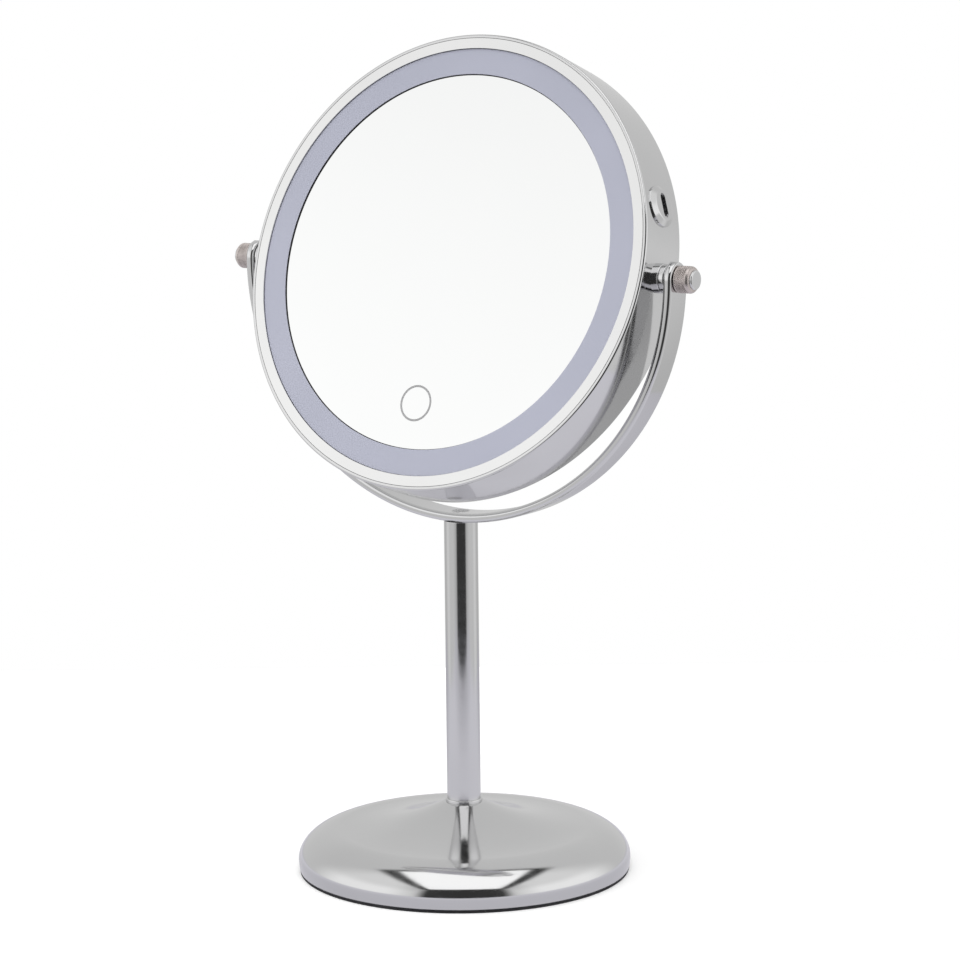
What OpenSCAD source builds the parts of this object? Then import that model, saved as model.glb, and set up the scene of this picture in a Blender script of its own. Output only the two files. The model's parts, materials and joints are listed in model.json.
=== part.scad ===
// Lighted vanity mirror on a table stand: a round drum with a lit mirror on its front and a
// magnifying mirror on its back, hung between two pivots in a bent strip yoke.
// Millimetres. X is the tilt axis, the lit side faces -Y, Z is up.
// The origin is the centre of the base's underside.

/* [Overall] */
// Height of the tilt axis above the table
pivot_h = 232.5; // [200:0.5:260]
// How far the head leans back as stored, in degrees
rest_tilt = 18.7; // [0:0.1:40]

/* [Head drum] */
// Outer diameter of the drum
head_d = 175; // [170:1:180]
// Depth of the drum from front face to back face
drum_depth = 25; // [25:0.5:30]
// Distance of the front face ahead of the tilt axis
front_ahead = 11; // [11:0.5:12]
// Wall thickness of the drum's ring
shell_wall = 1.4; // [1.2:0.1:1.6]

/* [Mirrors and light] */
// Visible diameter of the front mirror
mirror_view_d = 144; // [142:1:145]
// Visible outer diameter of the frosted ring
light_view_d = 164; // [163:0.5:165]
// Diameter of the circle that marks the touch switch
touch_d = 13.4; // [10:0.1:16]
// Height of the touch mark below the mirror's centre
touch_drop = 54.5; // [45:0.5:60]
// Distance of the touch mark to the left of the mirror's centre
touch_aside = 2; // [0:0.1:4]
// Number of light-emitting chips on the ring board
led_count = 48; // [24:4:60]
// Radius of curvature of the magnifying mirror
rear_mirror_r = 750; // [700:10:1200]

/* [Charging port] */
// Angle of the port up the drum's side from the right pivot
port_angle = 17.7; // [15:0.1:25]
// Turn of the slot about the port's own axis
port_roll = 12; // [0:1:15]
// Diameter of the raised port surround
port_d = 16; // [14:0.5:16.5]
// Height of the port surround above the drum's wall
port_rise = 1.8; // [1:0.1:2.5]

/* [Yoke and pivots] */
// Clear space between the drum and the yoke
yoke_gap = 5.4; // [4.8:0.1:7]
// Thickness of the yoke strip
yoke_t = 3.5; // [3:0.1:4]
// Width of the yoke strip
yoke_w = 12.4; // [10:0.1:13]
// Diameter of the pivot studs
stud_d = 5.8; // [5:0.1:6]
// Diameter of the thumb nuts
nut_d = 9.9; // [9.6:0.1:12]
// Length of the thumb nuts
nut_len = 6.2; // [4:0.1:8]
// Number of flutes on each thumb nut
flute_count = 30; // [20:1:36]

/* [Stand] */
// Outer diameter of the stem tube
stem_d = 12.9; // [12:0.1:14]
// Outer diameter of the base
base_d = 128; // [120:1:140]
// Height of the flat seat in the middle of the base
seat_h = 26.5; // [24:0.1:28]
// Radius where the base's dished top turns into its round rim
crest_r = 47.9; // [44:0.1:52]
// Height of the base at that radius
crest_h = 16.5; // [15:0.1:18]
// Height where the base is widest
rim_widest_h = 5; // [4:0.1:7]
// Thickness of the anti-slip pad
pad_t = 1.2; // [1:0.1:2]

/* [Hidden] */

$fn = 96;
fine_fn = 720;                    // for the drum's round face where a small part sits on it
eps = 0.01;
hair = 0.1;                       // small gap between parts that only lie together

// Drum, in the head's own frame: z runs out of the front face, y runs up the mirror
head_r = head_d / 2;
shell_in_r = head_r - shell_wall;
front_z = front_ahead;
back_z = front_ahead - drum_depth;
bezel_r = shell_in_r - 0.3;
bezel_flange = 1.2;
bezel_skirt = 1.2;
light_out_r = light_view_d / 2;
light_in_r = mirror_view_d / 2;
light_face_z = front_z - 0.5;
light_back_z = front_z - 2.5;
light_lip_r = light_out_r + 1.9;
glass_t = 3;
mirror_r = light_in_r - hair;
mirror_face_z = light_face_z - 0.6;
mirror_back_z = mirror_face_z - glass_t;
tray_floor_z = light_back_z - 5.1;
tray_t = 1.2;
tray_out_r = light_lip_r + 0.3;
led_board_t = 1;
led_r = (mirror_r + tray_out_r) / 2;
lug_r = 81.5;
lug_half = 3.6;
lug_count = 4;
screw_r = 1.25;
screw_hole_r = 1.4;
chassis_z = -6;
chassis_t = 1.2;
chassis_front_z = chassis_z + chassis_t;
chassis_r = shell_in_r - 0.5;
touch_pad_t = 0.6;
touch_hole_r = 9;
touch_at = [-touch_aside, -touch_drop];

// Magnifying mirror
rear_view_r = 80.5;
dish_r = rear_view_r + 1.5;
dish_deep_z = chassis_z - 2.2;
dish_t = 2;
function dish_z(r) = dish_deep_z - r * r / (2 * rear_mirror_r);

// Electronics on the chassis plate
battery_size = [60, 45, 4];
battery_at = [-24, 14];
tape_t = 0.2;
board_size = [46, 30, 1.2];
board_at = [34, -14];
board_lift = 1.2;
board_top_z = chassis_front_z + board_lift + board_size[2];
wire_r = 0.6;

// Port, in its own frame: z runs out of the drum's wall
port_z = -0.2;
port_r = port_d / 2;
port_face_r = port_r - 1.9;
socket_size = [8.94, 3.26, 7.3];
socket_wall = 0.3;
port_board_size = [12, 1, 12];
socket_recess = 0.4;
socket_mouth = head_r + port_rise - socket_recess;

// Pivots
yoke_in_r = head_r + yoke_gap;
yoke_out_r = yoke_in_r + yoke_t;
stud_r = stud_d / 2;
run_clear = 0.05;                 // radial clearance of a running fit
stud_hole_r = stud_r + 0.1;
collar_r = 5.5;
collar_end = head_r + 3;
washer_r = 5.2;
washer_end = yoke_in_r - 0.3;
stud_head_t = 2.4;
stud_head_flats = 6.4;
plate_t = 1;
plate_size = [12, 8];
nut_start = yoke_out_r + 0.2;
nut_end = nut_start + nut_len;
nut_round = 1.5;                  // rounding of a nut's outer end
cap_r = 3.6;                      // domed cap pressed into a nut's outer end
cap_rise = 0.9;
cap_plug = 1.2;
stud_end = nut_end - cap_plug - 0.3;

// Stand
stem_r = stem_d / 2;
stem_in_r = stem_r - 1;
stem_top_z = pivot_h - yoke_out_r;
plug_r = stem_in_r - eps;
sink_r = 3.4;                     // countersunk head of the screw through the yoke
sink_t = 1.5;
collar_foot_r = 7.1;
collar_foot_h = 1.2;
base_r = base_d / 2;
seat_r = 7.6;
cover_wall = 0.9;
bolt_r = 2.5;
base_plate_t = 1.1;
weight_r = 55;
weight_h = 7;
hub_r = 10;
hub_top_z = top_h(hub_r) - cover_wall - hair;
weight_low_z = pad_t + base_plate_t + hair;
bolt_head_h = 3.6;
bolt_head_low_z = weight_low_z;
washer_low_z = bolt_head_low_z + bolt_head_h;
washer_t = 1;
bolt_top_z = seat_h + 17;

// ---- Placement helpers ----

// Puts a shape from the head's own frame where the head is stored
module in_head() {
    translate([0, 0, pivot_h]) rotate([90 - rest_tilt, 0, 0]) children();
}

// Puts a shape whose z axis is the tilt axis, pointing outwards, at one pivot
module at_pivot(side) {
    translate([0, 0, pivot_h]) rotate([-rest_tilt, 0, 0]) rotate([0, side * 90, 0]) children();
}

// Puts a shape whose z axis points out of the port at the port
module at_port() {
    in_head() rotate([0, 0, port_angle]) translate([0, 0, port_z]) rotate([0, 90, 0])
        rotate([0, 0, 90 + port_roll]) children();
}

module ring(out_r, in_r, low, high) {
    translate([0, 0, low]) difference() {
        cylinder(r = out_r, h = high - low);
        translate([0, 0, -1]) cylinder(r = in_r, h = high - low + 2);
    }
}

module disc(r, low, high) {
    translate([0, 0, low]) cylinder(r = r, h = high - low);
}

module rounded_plate(size, corner) {
    translate([0, 0, size[2] / 2]) cube([size[0] - 2 * corner, size[1], size[2]], center = true);
    translate([0, 0, size[2] / 2]) cube([size[0], size[1] - 2 * corner, size[2]], center = true);
    for (sx = [-1, 1], sy = [-1, 1])
        translate([sx * (size[0] / 2 - corner), sy * (size[1] / 2 - corner), 0])
            cylinder(r = corner, h = size[2]);
}

// Bar with half-round long sides: the shape of a slot or of a flat connector
module slot_bar(length, width, height) {
    translate([0, 0, height / 2]) cube([length - width, width, height], center = true);
    for (side = [-1, 1])
        translate([side * (length - width) / 2, 0, 0]) cylinder(d = width, h = height);
}

// Wire along straight legs with round bends
module wire(points) {
    for (i = [0 : len(points) - 2]) {
        leg = points[i + 1] - points[i];
        span = norm(leg);
        turn = atan2(leg[1], leg[0]);
        lean = acos(leg[2] / span);
        translate(points[i]) rotate([0, lean, turn]) cylinder(r = wire_r, h = span);
    }
    for (i = [1 : len(points) - 2]) translate(points[i]) sphere(r = wire_r + 0.05);
}

module at_lugs() {
    for (i = [0 : lug_count - 1]) rotate([0, 0, 45 + i * 360 / lug_count])
        translate([lug_r, 0, 0]) children();
}

// ---- Stand ----

// Height of the base's dished top, which is level at its crest and steepest at its seat
function top_h(r) =
    let (k = (crest_r - r) / (crest_r - seat_r))
    crest_h + (seat_h - crest_h) * k * k;
// Round rim of the base between its widest point and its crest
function rim_point(k, inset) =
    let (wide = [base_r - inset, rim_widest_h],
         corner = [base_r - inset, crest_h - inset],
         crest = [crest_r, crest_h - inset],
         weight = 0.65,
         a = (1 - k) * (1 - k), b = 2 * weight * k * (1 - k), c = k * k)
    (a * wide + b * corner + c * crest) / (a + b + c);
function cover_outline(inset) = concat(
    [for (k = [0 : 0.1 : 1]) rim_point(k, inset)],
    [for (k = [1 : 8]) let (r = crest_r + (seat_r - crest_r) * k / 8) [r, top_h(r) - inset]]);

module base_pad() {
    color([0.06, 0.06, 0.07]) disc(base_r - 0.5, 0, pad_t);
}

module base_cover() {
    lip_r = base_r - 0.4;
    color([0.75, 0.75, 0.77]) difference() {
        rotate_extrude() polygon(concat([[0, pad_t], [lip_r, pad_t]], cover_outline(0),
            [[0, seat_h]]));
        rotate_extrude() polygon(concat([[0, pad_t - 1], [lip_r - cover_wall, pad_t - 1]],
            cover_outline(cover_wall), [[0, seat_h - cover_wall]]));
        cylinder(r = bolt_r + 0.2, h = seat_h + 1);
    }
}

module base_plate() {
    color([0.55, 0.56, 0.58]) ring(base_r - 2.4, hub_r, pad_t, pad_t + base_plate_t);
}

module base_weight() {
    color([0.3, 0.3, 0.32]) difference() {
        union() {
            disc(weight_r, weight_low_z, weight_low_z + weight_h);
            disc(hub_r, weight_low_z, hub_top_z);
            disc(seat_r - hair, weight_low_z, seat_h - cover_wall);
        }
        disc(bolt_r + 0.2, 0, seat_h);
        disc(hub_r - 2, weight_low_z - 1, washer_low_z + washer_t);
    }
}

module base_washer() {
    color([0.6, 0.6, 0.6])
        ring(hub_r - 2.3, bolt_r + 0.2, washer_low_z, washer_low_z + washer_t);
}

module base_bolt() {
    color([0.5, 0.5, 0.52]) {
        disc(bolt_r, washer_low_z - 1, bolt_top_z);
        translate([0, 0, bolt_head_low_z]) cylinder(r = 4.6, h = bolt_head_h, $fn = 6);
    }
}

module stem_collar() {
    color([0.78, 0.78, 0.8]) rotate_extrude() polygon([
        [stem_r + eps, seat_h], [collar_foot_r, seat_h],
        [collar_foot_r, seat_h + collar_foot_h - 0.4],
        [collar_foot_r - 0.4, seat_h + collar_foot_h], [stem_r + eps, seat_h + collar_foot_h]]);
}

module stem_tube() {
    color([0.78, 0.78, 0.8]) ring(stem_r, stem_in_r, seat_h, stem_top_z);
}

module stem_lower_plug() {
    color([0.6, 0.6, 0.62]) ring(plug_r, bolt_r + run_clear, seat_h, seat_h + 20);
}

module stem_upper_plug() {
    color([0.6, 0.6, 0.62]) ring(plug_r, 2.05, stem_top_z - 18, stem_top_z);
}

module yoke() {
    color([0.78, 0.78, 0.8]) translate([0, 0, pivot_h]) difference() {
        union() {
            rotate([90, 0, 0]) difference() {
                cylinder(r = yoke_out_r, h = yoke_w, center = true);
                cylinder(r = yoke_in_r, h = yoke_w + 2, center = true);
                translate([0, yoke_out_r, 0])
                    cube([3 * yoke_out_r, 2 * yoke_out_r, yoke_w + 4], center = true);
            }
            for (side = [-1, 1]) rotate([0, side * 90, 0]) translate([0, 0, yoke_in_r])
                cylinder(d = yoke_w, h = yoke_t);
        }
        rotate([0, 90, 0]) cylinder(r = stud_r + run_clear, h = 3 * yoke_out_r, center = true);
        translate([0, 0, -yoke_out_r - 5]) cylinder(r = 2.1, h = 20);
        translate([0, 0, -yoke_in_r - sink_t - hair])
            cylinder(r1 = 2.1, r2 = sink_r + hair, h = sink_t);
        translate([0, 0, -yoke_in_r - hair]) cylinder(r = sink_r + hair, h = 5);
    }
}

module yoke_screw() {
    head_top = pivot_h - yoke_in_r - hair;
    color([0.55, 0.55, 0.57]) difference() {
        union() {
            disc(2, stem_top_z - 10, head_top - 0.5);
            translate([0, 0, head_top - sink_t]) cylinder(r1 = 2, r2 = sink_r, h = sink_t);
        }
        for (turn = [0, 90]) rotate([0, 0, turn]) translate([0, 0, head_top])
            cube([3.8, 0.8, 1.8], center = true);
    }
}

// ---- Head shell and light ----

module drum_housing() {
    nose = shell_wall / 2;
    color([0.77, 0.77, 0.79]) difference() {
        union() {
            in_head() rotate_extrude() {
                translate([shell_in_r, back_z + nose]) square([shell_wall, drum_depth - 2 * nose]);
                for (z = [back_z + nose, front_z - nose])
                    translate([head_r - nose, z]) circle(r = nose);
            }
            in_head() at_lugs() {
                disc(lug_half, chassis_front_z, tray_floor_z);
                translate([0, -lug_half, chassis_front_z]) cube([
                    shell_in_r - lug_r + 0.5, 2 * lug_half, tray_floor_z - chassis_front_z]);
            }
        }
        in_head() at_lugs() disc(screw_hole_r, chassis_front_z - 1, tray_floor_z + 1);
        in_head() rotate([0, 90, 0]) cylinder(r = stud_hole_r, h = 3 * head_r, center = true);
        at_port() translate([0, 0, head_r - 8])
            slot_bar(socket_size[0] + 0.4, socket_size[1] + 0.4, 12);
    }
}

// One pressed bezel ring: flange seen from outside, skirt inside the drum's wall
module bezel_ring(view_r, skirt_len) {
    rotate_extrude() polygon([
        [view_r, -bezel_flange], [view_r, -0.2], [view_r + 0.2, 0], [bezel_r - 0.4, 0],
        [bezel_r - 0.1, -0.1], [bezel_r, -0.4], [bezel_r, -skirt_len],
        [bezel_r - bezel_skirt, -skirt_len], [bezel_r - bezel_skirt, -bezel_flange]]);
}

module front_bezel() {
    color([0.9, 0.9, 0.9]) in_head() translate([0, 0, front_z]) bezel_ring(light_out_r, 5.8);
}

module light_ring() {
    color([0.72, 0.73, 0.81]) in_head() rotate_extrude() polygon([
        [light_in_r, light_back_z], [light_in_r, light_face_z - 0.3],
        [light_in_r + 0.3, light_face_z], [light_out_r - 0.1, light_face_z],
        [light_out_r - 0.1, front_z - bezel_flange - hair],
        [light_lip_r, front_z - bezel_flange - hair], [light_lip_r, light_back_z]]);
}

module front_mirror() {
    color([0.95, 0.96, 0.97]) in_head() disc(mirror_r, mirror_back_z, mirror_face_z);
}

module touch_mark() {
    color([0.55, 0.55, 0.57]) in_head() translate(touch_at)
        ring(touch_d / 2, touch_d / 2 - 0.5, mirror_face_z, mirror_face_z + 0.05);
}

module touch_pad() {
    color([0.8, 0.5, 0.25]) in_head() translate(touch_at)
        disc(touch_hole_r - 1, mirror_back_z - touch_pad_t, mirror_back_z);
}

module touch_lead() {
    start_z = mirror_back_z - touch_pad_t;
    color([0.85, 0.75, 0.2]) in_head() wire([
        concat(touch_at, start_z), concat(touch_at, 1), [board_at[0] - 16, -touch_drop, 1],
        [board_at[0] - 16, -25, 1], [board_at[0] - 16, -25, board_top_z]]);
}

module reflector_tray() {
    wall_r = mirror_r + 0.3;
    color([0.95, 0.95, 0.95]) in_head() difference() {
        union() {
            disc(wall_r + 0.5, mirror_back_z - tray_t, mirror_back_z);
            ring(wall_r + 1, wall_r, tray_floor_z, light_back_z);
            ring(tray_out_r, wall_r + 0.5, tray_floor_z, tray_floor_z + tray_t);
            ring(tray_out_r, tray_out_r - 1, tray_floor_z, light_back_z);
        }
        translate(touch_at) disc(touch_hole_r, 0, mirror_back_z + 1);
        at_lugs() disc(screw_hole_r, tray_floor_z - 1, tray_floor_z + tray_t + 1);
        rotate([0, 0, -70]) translate([led_r, 0, 0]) disc(2, 0, tray_floor_z + tray_t + 1);
    }
}

module led_ring_board() {
    low = tray_floor_z + tray_t;
    color([0.93, 0.93, 0.9]) in_head()
        ring(tray_out_r - 1.4, mirror_r + 1.7, low, low + led_board_t);
}

module led_chips() {
    low = tray_floor_z + tray_t + led_board_t;
    color([0.98, 0.9, 0.5]) in_head() for (i = [0 : led_count - 1])
        rotate([0, 0, (i + 0.5) * 360 / led_count])
            translate([led_r - 1.4, -1.75, low]) cube([2.8, 3.5, 0.9]);
}

module led_leads() {
    color([0.8, 0.15, 0.15]) in_head() for (side = [-1, 1]) {
        end = [led_r * cos(70) + side, -led_r * sin(70)];
        wire([[board_at[0] + 2 * side, -24, board_top_z], [board_at[0] + 2 * side, -24, 1.5],
            [end[0], end[1], 1.5], [end[0], end[1], tray_floor_z + tray_t]]);
    }
}

// ---- Inside of the head ----

module chassis_plate() {
    color([0.2, 0.2, 0.22]) in_head() difference() {
        union() {
            disc(chassis_r, chassis_z, chassis_front_z);
            translate(concat(board_at, chassis_front_z))
                for (sx = [-1, 1], sy = [-1, 1])
                    translate([sx * (board_size[0] / 2 - 3), sy * (board_size[1] / 2 - 3), 0])
                        cylinder(r = 2, h = board_lift);
        }
        at_lugs() disc(screw_hole_r, chassis_z - 1, chassis_front_z + 1);
    }
}

module assembly_screws() {
    color([0.45, 0.45, 0.47]) in_head() at_lugs() {
        disc(screw_r, chassis_z - 1, tray_floor_z + tray_t - hair);
        difference() {
            disc(2.4, chassis_z - 1.5, chassis_z);
            for (turn = [0, 90]) rotate([0, 0, turn]) translate([0, 0, chassis_z - 1.5])
                cube([2.6, 0.6, 1.2], center = true);
        }
    }
}

module control_board() {
    color([0.1, 0.4, 0.2]) in_head()
        translate(concat(board_at, chassis_front_z + board_lift)) rounded_plate(board_size, 2);
}

module board_chips() {
    color([0.08, 0.08, 0.08]) in_head() translate(concat(board_at, board_top_z)) {
        translate([-8, 2, 0]) cube([8, 5, 1.5]);
        translate([5, 4, 0]) cube([5, 4, 1.2]);
        translate([-12, -10, 0]) cube([4, 3, 1.2]);
        translate([8, -10, 0]) cylinder(r = 2.5, h = 2.5);
    }
}

module battery_cell() {
    color([0.7, 0.72, 0.75]) in_head()
        translate(concat(battery_at, chassis_front_z + tape_t)) rounded_plate(battery_size, 2);
}

module battery_tape() {
    color([0.9, 0.9, 0.85]) in_head()
        translate([battery_at[0] - 25, battery_at[1] - 18, chassis_front_z])
            cube([50, 36, tape_t]);
}

module battery_leads() {
    lead_z = board_top_z + 2 * wire_r;
    cell_edge = battery_at[0] + battery_size[0] / 2;
    color([0.75, 0.1, 0.1]) in_head() for (side = [-1, 1])
        wire([[cell_edge, 20 + 3 * side, lead_z], [30 + 3 * side, 20 + 3 * side, lead_z],
            [30 + 3 * side, -3, lead_z], [30 + 3 * side, -3, board_top_z]]);
}

// ---- Charging port ----

module port_surround() {
    inner = [socket_size[0] + 0.2, socket_size[1] + 0.2];
    color([0.8, 0.8, 0.82]) difference() {
        at_port() translate([0, 0, head_r - 1]) rotate_extrude() polygon([
            [0, 0], [port_r, 0], [port_r, 1.1], [port_r - 0.6, 1 + port_rise - 0.5],
            [port_face_r, 1 + port_rise], [0, 1 + port_rise]]);
        in_head() disc(head_r, back_z, front_z, $fn = fine_fn);
        at_port() translate([0, 0, head_r - 8]) slot_bar(inner[0], inner[1], 12);
    }
}

module usb_socket() {
    color([0.7, 0.7, 0.72]) at_port() translate([0, 0, socket_mouth - socket_size[2]]) difference() {
        slot_bar(socket_size[0], socket_size[1], socket_size[2]);
        translate([0, 0, 1]) slot_bar(socket_size[0] - 2 * socket_wall,
            socket_size[1] - 2 * socket_wall, socket_size[2]);
    }
}

module usb_tongue() {
    color([0.08, 0.08, 0.08]) at_port() translate([0, 0, socket_mouth - socket_size[2] + 1 + 2.5])
        cube([6.6, 0.7, 5], center = true);
}

module port_board() {
    color([0.1, 0.4, 0.2]) at_port()
        translate([0, 0, socket_mouth - socket_size[2] - port_board_size[2] / 2])
            cube(port_board_size, center = true);
}

module port_leads() {
    board_in_r = socket_mouth - socket_size[2] - port_board_size[2];
    color([0.1, 0.1, 0.1]) in_head() for (side = [-1, 1]) {
        y = board_in_r * sin(port_angle) + 2 * side;
        start_x = (board_in_r - (y + wire_r) * sin(port_angle)) / cos(port_angle);
        wire([[start_x, y, port_z], [50 - side, y, port_z], [50 - side, -3, port_z],
            [50 - side, -3, board_top_z]]);
    }
}

// ---- Back of the head ----

module rear_bezel() {
    color([0.9, 0.9, 0.9]) in_head() translate([0, 0, back_z]) mirror([0, 0, 1])
        bezel_ring(rear_view_r, 5.8);
}

module rear_mirror() {
    steps = 8;
    radii = [for (i = [0 : steps]) i * dish_r / steps];
    color([0.93, 0.94, 0.96]) in_head() rotate_extrude() polygon(concat(
        [for (r = radii) [r, dish_z(r)]],
        [for (i = [steps : -1 : 0]) [radii[i], dish_z(radii[i]) + dish_t]]));
}

module rear_mirror_foam() {
    color([0.25, 0.25, 0.27]) in_head() ring(76, 68, dish_z(68) + dish_t + hair, chassis_z);
}

// ---- Pivots ----

module pivot_stud(side) {
    wall_in = shell_in_r - 0.25;
    head_start = wall_in - plate_t - stud_head_t;
    color([0.62, 0.62, 0.64]) at_pivot(side) {
        translate([0, 0, head_start])
            cylinder(d = stud_head_flats / cos(30), h = stud_head_t, $fn = 6);
        translate([0, 0, head_start + 1])
            cylinder(r = stud_r, h = stud_end - 1.2 - head_start - 1);
        translate([0, 0, stud_end - 1.2]) rotate_extrude() polygon([
            [0, 0], [stud_r, 0], [stud_r - 0.2, 0.5], [stud_r - 0.8, 0.95],
            [stud_r - 1.6, 1.15], [0, 1.2]]);
    }
}
module pivot_stud_left() { pivot_stud(-1); }
module pivot_stud_right() { pivot_stud(1); }

module stud_plate(side) {
    wall_in = shell_in_r - 0.25;
    color([0.6, 0.6, 0.6]) at_pivot(side) difference() {
        translate([0, 0, wall_in - plate_t / 2])
            cube([plate_size[0], plate_size[1], plate_t], center = true);
        disc(stud_hole_r, 0, head_r);
    }
}
module stud_plate_left() { stud_plate(-1); }
module stud_plate_right() { stud_plate(1); }

module pivot_collar(side) {
    color([0.75, 0.75, 0.77]) difference() {
        at_pivot(side) ring(collar_r, stud_hole_r, head_r - 1, collar_end);
        in_head() disc(head_r, back_z, front_z, $fn = fine_fn);
    }
}
module pivot_collar_left() { pivot_collar(-1); }
module pivot_collar_right() { pivot_collar(1); }

module friction_washer(side) {
    color([0.7, 0.7, 0.72]) at_pivot(side) ring(washer_r, stud_hole_r, collar_end, washer_end);
}
module friction_washer_left() { friction_washer(-1); }
module friction_washer_right() { friction_washer(1); }

module thumb_nut(side) {
    flute_r = 0.32;
    nut_r = nut_d / 2;
    color([0.6, 0.57, 0.55]) at_pivot(side) difference() {
        translate([0, 0, nut_start]) rotate_extrude() polygon(concat(
            [[0, 0], [nut_r - 0.3, 0], [nut_r, 0.3]],
            [for (turn = [0 : 15 : 90])
                [nut_r - nut_round * (1 - cos(turn)), nut_len - nut_round * (1 - sin(turn))]],
            [[0, nut_len]]));
        for (i = [0 : flute_count - 1]) rotate([0, 0, i * 360 / flute_count])
            translate([nut_r + 0.1, 0, nut_start - 1]) cylinder(r = flute_r, h = nut_len + 2, $fn = 4);
        disc(stud_r + run_clear, 0, nut_end + 1);
    }
}
module thumb_nut_left() { thumb_nut(-1); }
module thumb_nut_right() { thumb_nut(1); }

module nut_cap(side) {
    color([0.8, 0.8, 0.82]) at_pivot(side) {
        disc(stud_r + run_clear - eps, nut_end - cap_plug, nut_end);
        translate([0, 0, nut_end]) rotate_extrude() polygon([
            [0, 0], [cap_r, 0], [cap_r, cap_rise - 0.5], [cap_r - 0.15, cap_rise - 0.2],
            [cap_r - 0.5, cap_rise - 0.05], [cap_r - 1, cap_rise], [0, cap_rise]]);
    }
}
module nut_cap_left() { nut_cap(-1); }
module nut_cap_right() { nut_cap(1); }

base_pad();
base_cover();
base_plate();
base_weight();
base_bolt();
base_washer();
stem_collar();
stem_tube();
stem_lower_plug();
stem_upper_plug();
yoke();
yoke_screw();
drum_housing();
front_bezel();
light_ring();
front_mirror();
touch_mark();
touch_pad();
touch_lead();
reflector_tray();
led_ring_board();
led_chips();
led_leads();
chassis_plate();
assembly_screws();
control_board();
board_chips();
battery_cell();
battery_tape();
battery_leads();
port_surround();
usb_socket();
usb_tongue();
port_board();
port_leads();
rear_bezel();
rear_mirror();
rear_mirror_foam();
pivot_stud_left();
pivot_stud_right();
stud_plate_left();
stud_plate_right();
pivot_collar_left();
pivot_collar_right();
friction_washer_left();
friction_washer_right();
thumb_nut_left();
thumb_nut_right();
nut_cap_left();
nut_cap_right();
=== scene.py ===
import json
import math

import bpy
from mathutils import Matrix, Vector


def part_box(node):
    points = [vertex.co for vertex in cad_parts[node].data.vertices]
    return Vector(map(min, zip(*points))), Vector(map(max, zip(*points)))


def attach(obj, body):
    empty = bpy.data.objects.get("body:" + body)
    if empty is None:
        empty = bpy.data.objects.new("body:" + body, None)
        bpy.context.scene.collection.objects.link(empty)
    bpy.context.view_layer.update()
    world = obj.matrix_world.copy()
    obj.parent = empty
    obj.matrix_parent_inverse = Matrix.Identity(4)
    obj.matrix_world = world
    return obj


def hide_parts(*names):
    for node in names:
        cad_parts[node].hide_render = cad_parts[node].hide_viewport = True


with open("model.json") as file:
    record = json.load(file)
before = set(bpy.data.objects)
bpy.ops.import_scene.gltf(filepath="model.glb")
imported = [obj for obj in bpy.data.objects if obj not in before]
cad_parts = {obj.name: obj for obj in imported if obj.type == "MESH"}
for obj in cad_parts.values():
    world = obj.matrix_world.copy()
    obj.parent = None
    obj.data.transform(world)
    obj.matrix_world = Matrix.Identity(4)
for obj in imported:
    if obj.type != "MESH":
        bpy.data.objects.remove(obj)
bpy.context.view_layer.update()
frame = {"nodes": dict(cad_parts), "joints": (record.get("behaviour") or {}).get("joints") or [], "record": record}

# ---- Sizes in metres, in the CAD's frame. Those that a CAD node's box gives are read from it. ----

MM = 0.001
REST_TILT = math.radians(18.7)          # how far the head leans back as stored
PIVOT = Vector(frame["joints"][0]["pos_m"])

# Drum, in the head's own frame: z runs out of the lit face, y runs up the mirror.
# The bezels are a little wider than in the CAD, to close most of their seam to the drum. The
# touch circle and the port's surround differ from the CAD to be nearer to the photo.
HEAD_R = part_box("drum_housing")[1].x
SHELL_WALL = 1.4 * MM
FRONT_Z = 11 * MM
BACK_Z = -14 * MM
BEZEL_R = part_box("front_bezel")[1].x + 0.2 * MM
BEZEL_FLANGE = 1.2 * MM
BEZEL_WALL = 1.2 * MM
BEZEL_SKIRT = 5.8 * MM
LIGHT_OUT_R = 82 * MM
LIGHT_IN_R = 72 * MM
LIGHT_LIP_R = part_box("light_ring")[1].x
LIGHT_BACK_Z = FRONT_Z - 2.5 * MM
LIGHT_FACE_Z = FRONT_Z - 0.5 * MM
MIRROR_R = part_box("front_mirror")[1].x
MIRROR_FACE_Z = LIGHT_FACE_Z - 0.6 * MM
GLASS_T = 3 * MM
TOUCH_R = 6.9 * MM
TOUCH_LINE = 0.8 * MM
TOUCH_DROP = 54.5 * MM
TOUCH_ASIDE = 1.3 * MM
REAR_VIEW_R = 80.5 * MM
DISH_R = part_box("rear_mirror")[1].x
DISH_DEEP_Z = -8.2 * MM
DISH_CURVE_R = 750 * MM
DISH_T = 2 * MM

# Charging port on the drum's side wall
PORT_ANGLE = math.radians(17.7)
PORT_ROLL = math.radians(12)
PORT_Z = -0.2 * MM
PORT_R = 7.8 * MM
PORT_RISE = 1.8 * MM
SLOT = (9.14 * MM, 3.46 * MM)           # opening of the surround: length, width

# Yoke and pivots, measured along the tilt axis
YOKE_OUT_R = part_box("yoke")[1].x
YOKE_T = 3.5 * MM
YOKE_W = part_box("yoke")[1].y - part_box("yoke")[0].y
STUD_R = 2.9 * MM
STUD_HOLE_R = 3 * MM
RUN_CLEAR = 0.05 * MM                   # radial clearance of a running fit
COLLAR_R = 5.5 * MM
COLLAR_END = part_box("pivot_collar_right")[1].x
WASHER_R = 5.2 * MM
WASHER_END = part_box("friction_washer_right")[1].x
NUT_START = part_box("thumb_nut_right")[0].x
NUT_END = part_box("thumb_nut_right")[1].x
NUT_R = (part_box("thumb_nut_right")[1].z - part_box("thumb_nut_right")[0].z) / 2
NUT_ROUND = 1.5 * MM                    # rounding of a nut's outer end
CAP_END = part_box("nut_cap_right")[1].x
CAP_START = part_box("nut_cap_right")[0].x
CAP_R = 3.6 * MM
STUD_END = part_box("pivot_stud_right")[1].x
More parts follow.
